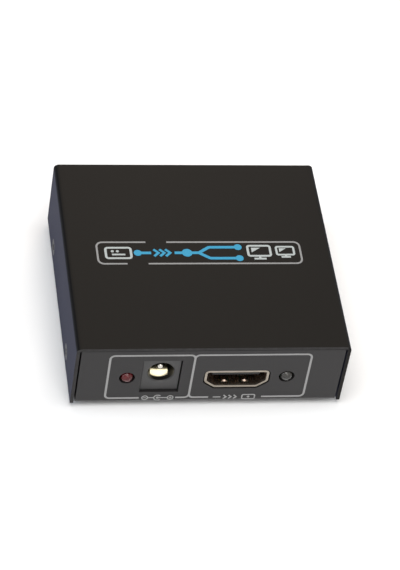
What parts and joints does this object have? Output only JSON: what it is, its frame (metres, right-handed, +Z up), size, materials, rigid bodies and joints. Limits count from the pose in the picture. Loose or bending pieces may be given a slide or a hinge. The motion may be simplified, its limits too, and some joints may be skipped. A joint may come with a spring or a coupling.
{
  "type": "video splitter",
  "caption": "Flat black steel box that repeats one video input on output sockets at the rear, with a barrel power socket, indicator lights and rubber feet.",
  "frame": {"origin": "centre of the footprint, on the surface that the feet stand on", "axes": "+X right and +Y back as seen from the front panel, +Z up"},
  "size_m": [0.064, 0.0612, 0.02],
  "materials": {
    "cover_paint": "satin black powder coat, fine texture",
    "tray_paint": "satin black powder coat, fine texture",
    "screw_black": "black oxide",
    "foot_rubber": "matte",
    "port_steel": "nickel plated, bright",
    "port_plastic": "moulded black",
    "contact_gold": "gold plated",
    "jack_plastic": "moulded black, fine texture",
    "jack_nickel": "nickel plated",
    "spring_metal": "pale plated spring bronze",
    "lens_red": "tinted clear epoxy",
    "lens_clear": "water-clear epoxy",
    "board_green": "solder mask",
    "board_steel": "zinc plated",
    "lead_tin": "tinned",
    "chip_black": "moulded epoxy",
    "can_metal": "drawn can",
    "ferrite_grey": "sintered",
    "ceramic_tan": "fired ceramic"
  },
  "bodies": {
    "case": {"top_cover": "cover_paint", "base_tray": "tray_paint", "cover_screws": "screw_black", "rubber_feet": "foot_rubber", "circuit_board": "board_green", "board_standoffs": "board_steel", "board_screws": "board_steel", "input_port_shell": "port_steel", "input_port_insulator": "port_plastic", "input_port_contacts": "contact_gold", "output_a_port_shell": "port_steel", "output_a_port_insulator": "port_plastic", "output_a_port_contacts": "contact_gold", "output_b_port_shell": "port_steel", "output_b_port_insulator": "port_plastic", "output_b_port_contacts": "contact_gold", "power_jack_housing": "jack_plastic", "power_jack_pin": "jack_nickel", "power_jack_pin_terminal": "jack_nickel", "power_jack_spring_terminal": "jack_nickel", "power_jack_switch_contact": "jack_nickel", "power_led": "lens_red", "input_led": "lens_clear", "output_a_led": "lens_clear", "output_b_led": "lens_clear", "led_leads": "lead_tin", "splitter_chip": "chip_black", "splitter_chip_leads": "lead_tin", "memory_chip": "chip_black", "voltage_regulators": "chip_black", "clock_crystal": "can_metal", "power_inductor": "ferrite_grey", "electrolytic_capacitors": "can_metal", "ceramic_capacitors": "ceramic_tan", "chip_resistors": "chip_black", "surge_protectors": "chip_black"},
    "sleeve_spring": {"power_jack_spring": "spring_metal"}
  },
  "joints": [
    {"name": "sleeve_spring_press", "type": "hinge", "parent": "case", "child": "sleeve_spring", "pos_m": [-0.0116, -0.0187, 0.0067], "axis": [1, 0, 0], "range_deg": [0, 7], "stiffness_Nm_per_rad": 0.05, "springref_deg": -5.73}
  ]
}
